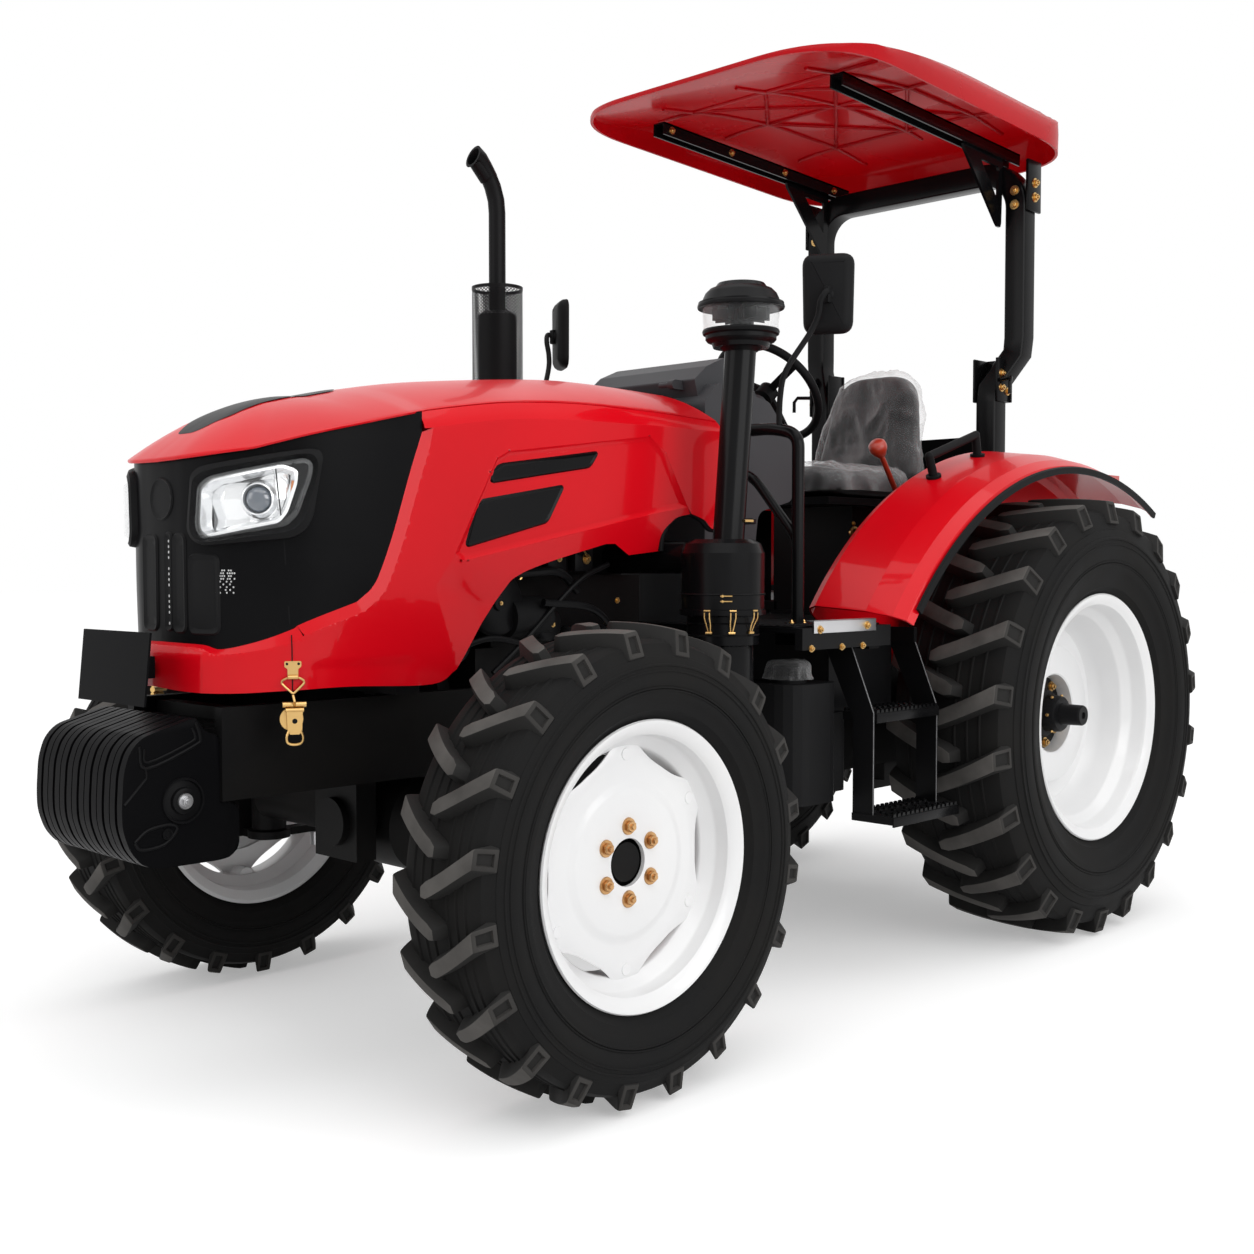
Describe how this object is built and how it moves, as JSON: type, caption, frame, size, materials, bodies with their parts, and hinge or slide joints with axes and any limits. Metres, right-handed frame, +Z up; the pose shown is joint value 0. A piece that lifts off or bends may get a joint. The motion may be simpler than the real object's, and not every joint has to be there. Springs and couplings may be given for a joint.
{
  "type": "farm tractor",
  "caption": "Farm tractor with driven front axle, tilting hood, front weights, side steps, open platform under a canopy, and a rear lift with linkage and power shaft.",
  "frame": {"origin": "on the ground under the middle of the length and width", "axes": "+X forward, +Y to the driver's left, +Z up"},
  "size_m": [3.975, 1.864, 2.874],
  "materials": {
    "red_paint": "gloss red paint",
    "black_paint": "satin black paint",
    "casting": "black painted casting",
    "white_paint": "gloss white paint",
    "tyre": "matte rubber",
    "plastic": "grained dark plastic",
    "grille": "dark gloss plastic",
    "lamp": "clear lens",
    "red_lens": "red lens",
    "bowl": "clear bowl",
    "vinyl": "black vinyl",
    "rubber": "black rubber",
    "steel": "bare steel",
    "guard": "dark heat proof paint"
  },
  "bodies": {
    "chassis": {"front_frame": "casting", "front_weights": "casting", "front_axle": "casting", "engine_block": "casting", "engine_fittings": "plastic", "transmission": "casting", "rear_axle": "casting", "platform": "black_paint", "steps": "black_paint", "fuel_tank": "plastic", "console": "plastic", "controls": "black_paint", "handrails": "black_paint", "mirrors": "black_paint", "air_cleaner": "black_paint", "precleaner_bowl": "bowl", "muffler": "guard", "fenders": "red_paint", "fender_trim": "rubber", "tail_lamps": "red_lens", "seat_base": "plastic", "seat_cushions": "vinyl", "rops": "black_paint", "canopy": "red_paint", "drawbar": "casting"},
    "hood": {"hood_shell": "red_paint", "grille": "grille", "bumper": "red_paint", "headlamps": "lamp", "number_plate": "black_paint"},
    "knuckle_left": {"knuckle_left": "casting"},
    "knuckle_right": {"knuckle_right": "casting"},
    "tie_rod": {"tie_rod": "steel"},
    "steering_wheel": {"steering_wheel": "rubber"},
    "lower_links": {"lower_links": "casting"},
    "lift_arms": {"lift_arms": "casting"},
    "lift_rods": {"lift_rods": "steel"},
    "pto_shaft": {"pto_shaft": "steel"},
    "wheel_front_left": {"tyre_front_left": "tyre", "wheel_front_left": "white_paint"},
    "wheel_front_right": {"tyre_front_right": "tyre", "wheel_front_right": "white_paint"},
    "wheel_rear_left": {"tyre_rear_left": "tyre", "wheel_rear_left": "white_paint"},
    "wheel_rear_right": {"tyre_rear_right": "tyre", "wheel_rear_right": "white_paint"}
  },
  "joints": [
    {"name": "steer_left", "type": "hinge", "parent": "chassis", "child": "knuckle_left", "pos_m": [1.0925, 0.64, 0.545], "axis": [0, 0, 1], "range_deg": [-40, 40]},
    {"name": "steer_right", "type": "hinge", "parent": "chassis", "child": "knuckle_right", "pos_m": [1.0925, -0.64, 0.545], "axis": [0, 0, 1], "range_deg": [-40, 40]},
    {"name": "tie_rod_swing", "type": "hinge", "parent": "knuckle_left", "child": "tie_rod", "pos_m": [0.9225, 0.64, 0.393], "axis": [0, 0, 1], "range_deg": [-40, 40]},
    {"name": "steering_wheel_turn", "type": "hinge", "parent": "chassis", "child": "steering_wheel", "pos_m": [-0.4475, 0, 1.8], "axis": [-0.766, 0, 0.6428], "range_deg": [-485, 485]},
    {"name": "wheel_front_left_spin", "type": "hinge", "parent": "knuckle_left", "child": "wheel_front_left", "pos_m": [1.0925, 0.79, 0.545], "axis": [0, 1, 0], "continuous": true},
    {"name": "wheel_front_right_spin", "type": "hinge", "parent": "knuckle_right", "child": "wheel_front_right", "pos_m": [1.0925, -0.79, 0.545], "axis": [0, 1, 0], "continuous": true},
    {"name": "wheel_rear_left_spin", "type": "hinge", "parent": "chassis", "child": "wheel_rear_left", "pos_m": [-1.0875, 0.715, 0.72], "axis": [0, 1, 0], "continuous": true},
    {"name": "wheel_rear_right_spin", "type": "hinge", "parent": "chassis", "child": "wheel_rear_right", "pos_m": [-1.0875, -0.715, 0.72], "axis": [0, 1, 0], "continuous": true},
    {"name": "hood_tilt", "type": "hinge", "parent": "chassis", "child": "hood", "pos_m": [0.2085, 0, 1.754], "axis": [0, -1, 0], "range_deg": [0, 50]},
    {"name": "hitch_lift", "type": "hinge", "parent": "chassis", "child": "lower_links", "pos_m": [-1.2475, 0, 0.48], "axis": [0, 1, 0], "range_deg": [-18, 28]},
    {"name": "lift_arm_turn", "type": "hinge", "parent": "chassis", "child": "lift_arms", "pos_m": [-1.2475, 0, 1.1], "axis": [0, 1, 0], "range_deg": [-18, 28]},
    {"name": "lift_rod_swing", "type": "hinge", "parent": "lift_arms", "child": "lift_rods", "pos_m": [-1.5775, 0, 1.1], "axis": [0, 1, 0], "range_deg": [-28, 18]},
    {"name": "pto_spin", "type": "hinge", "parent": "chassis", "child": "pto_shaft", "pos_m": [-1.3875, 0, 0.64], "axis": [1, 0, 0], "continuous": true}
  ],
  "couplings": [
    {"joint": "steer_right", "follows": "steer_left", "ratio": 1},
    {"joint": "tie_rod_swing", "follows": "steer_left", "ratio": -1},
    {"joint": "steering_wheel_turn", "follows": "steer_left", "ratio": 12},
    {"joint": "lift_arm_turn", "follows": "hitch_lift", "ratio": 1},
    {"joint": "lift_rod_swing", "follows": "hitch_lift", "ratio": -1}
  ]
}
